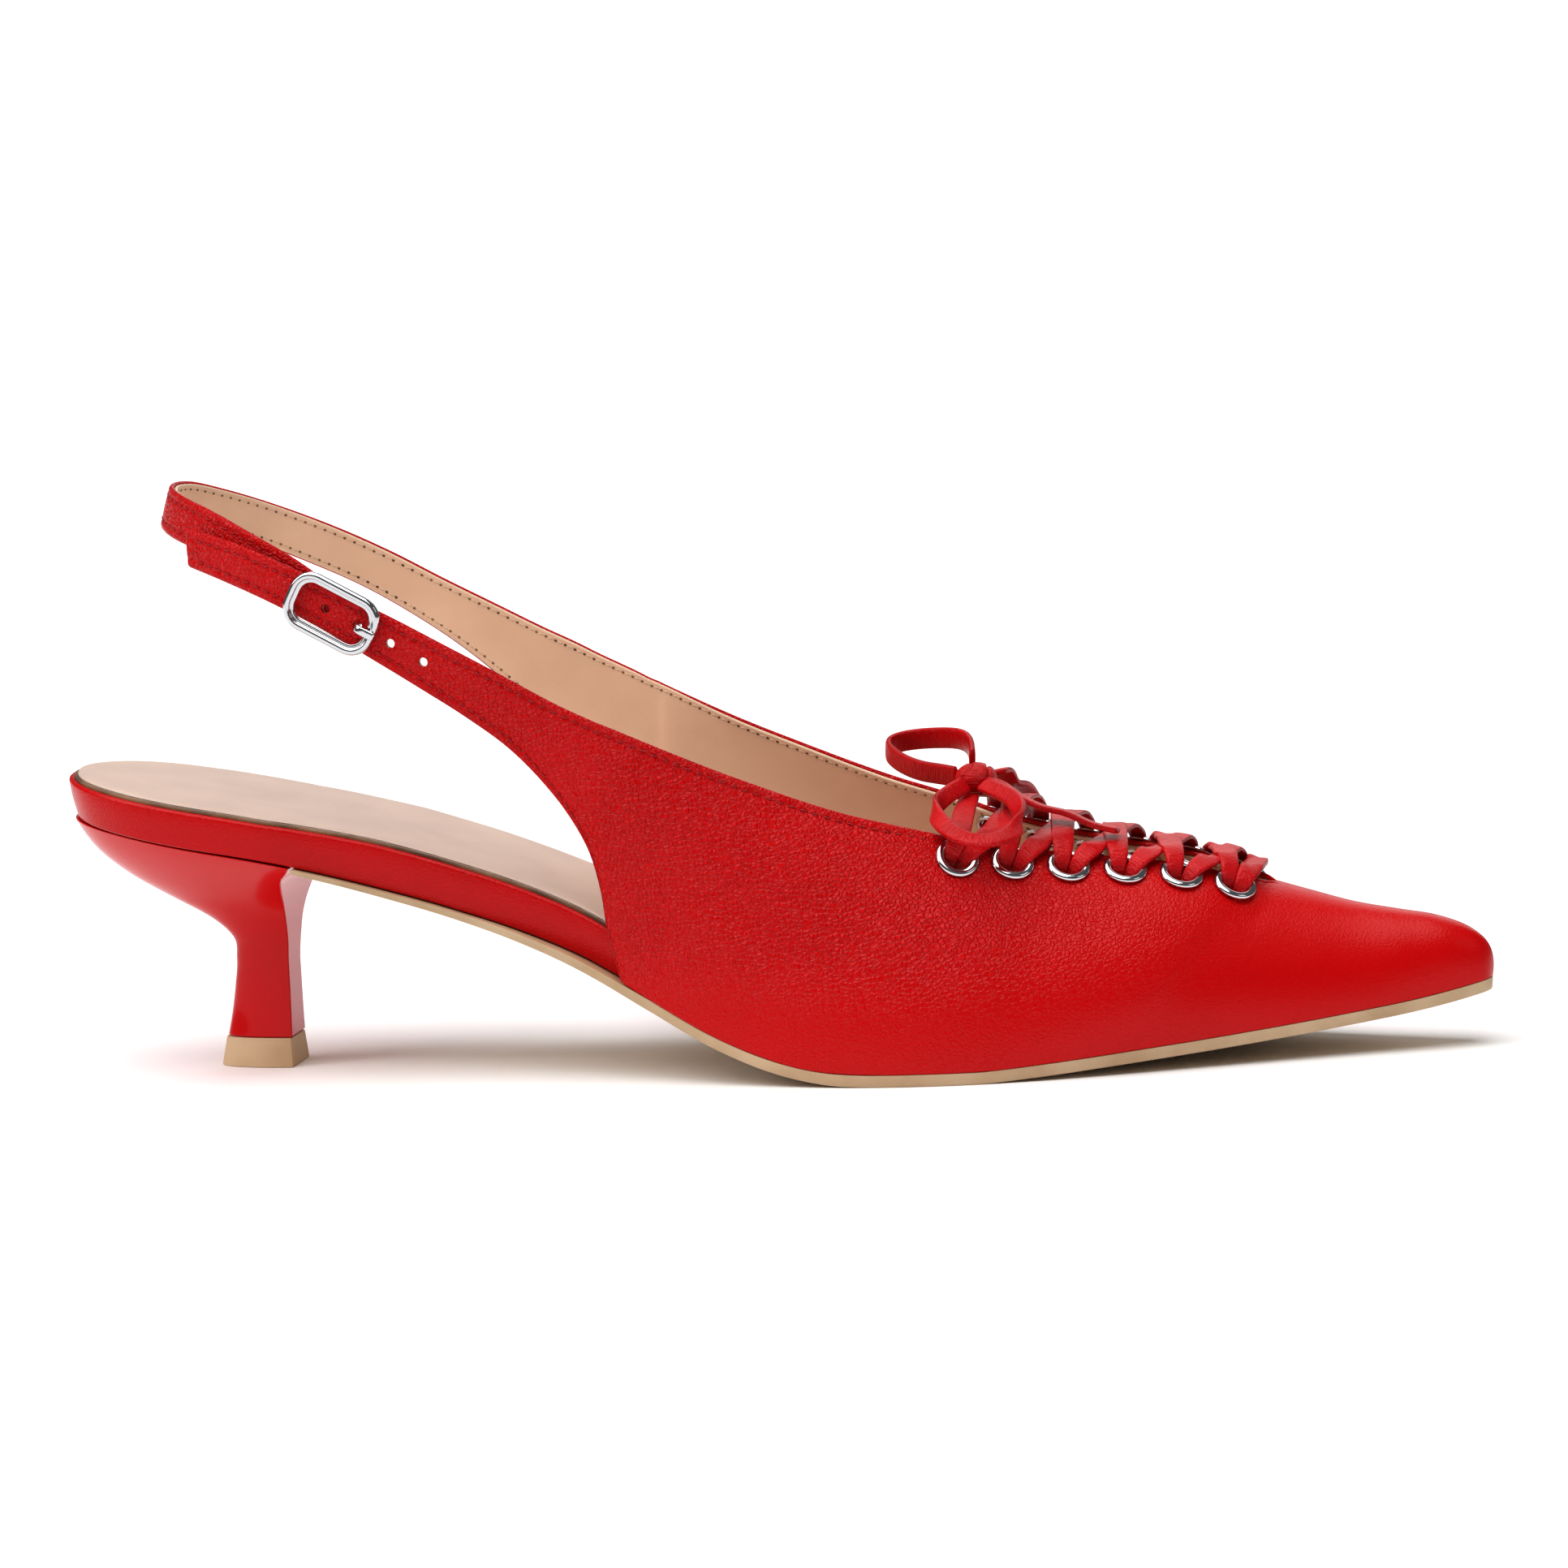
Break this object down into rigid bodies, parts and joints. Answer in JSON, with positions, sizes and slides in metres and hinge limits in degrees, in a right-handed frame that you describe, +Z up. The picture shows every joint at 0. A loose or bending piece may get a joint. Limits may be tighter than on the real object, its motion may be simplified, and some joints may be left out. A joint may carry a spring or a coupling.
{
  "type": "lace-up kitten-heel slingback shoe",
  "caption": "Pointed women's slingback shoe with a low kitten heel, a laced open throat tied in a small bow, and a buckled heel strap.",
  "frame": {"origin": "bottom centre of the box round the shoe without its loose lace, on the floor", "axes": "+X from heel to toe, -Y the outer (buckle) side of this right shoe, +Z up"},
  "size_m": [0.2622, 0.0756, 0.1088],
  "materials": {
    "outsole": "smooth tan sole leather",
    "rand": "smooth red leather wrap",
    "insole": "matte nude lining leather",
    "heel": "high-gloss red lacquer",
    "heel_tip": "tan moulded top piece",
    "upper": "red grained leather with soft sheen, lined",
    "eyelet": "polished nickel plate",
    "lace": "flat red leather lace",
    "buckle": "polished nickel plate"
  },
  "bodies": {
    "root": {"outsole": "outsole", "rand": "rand", "insole": "insole", "heel": "heel", "heel_tip": "heel_tip", "upper": "upper", "eyelet_lateral_1": "eyelet", "eyelet_lateral_2": "eyelet", "eyelet_lateral_3": "eyelet", "eyelet_lateral_4": "eyelet", "eyelet_lateral_5": "eyelet", "eyelet_lateral_6": "eyelet", "eyelet_medial_1": "eyelet", "eyelet_medial_2": "eyelet", "eyelet_medial_3": "eyelet", "eyelet_medial_4": "eyelet", "eyelet_medial_5": "eyelet", "eyelet_medial_6": "eyelet", "lace_lattice": "lace", "lace_knot": "lace", "bow_loop_near": "lace", "bow_loop_far": "lace", "lace_end_near": "lace", "lace_end_far": "lace", "buckle_frame": "buckle", "buckle_prong": "buckle"}
  },
  "joints": []
}
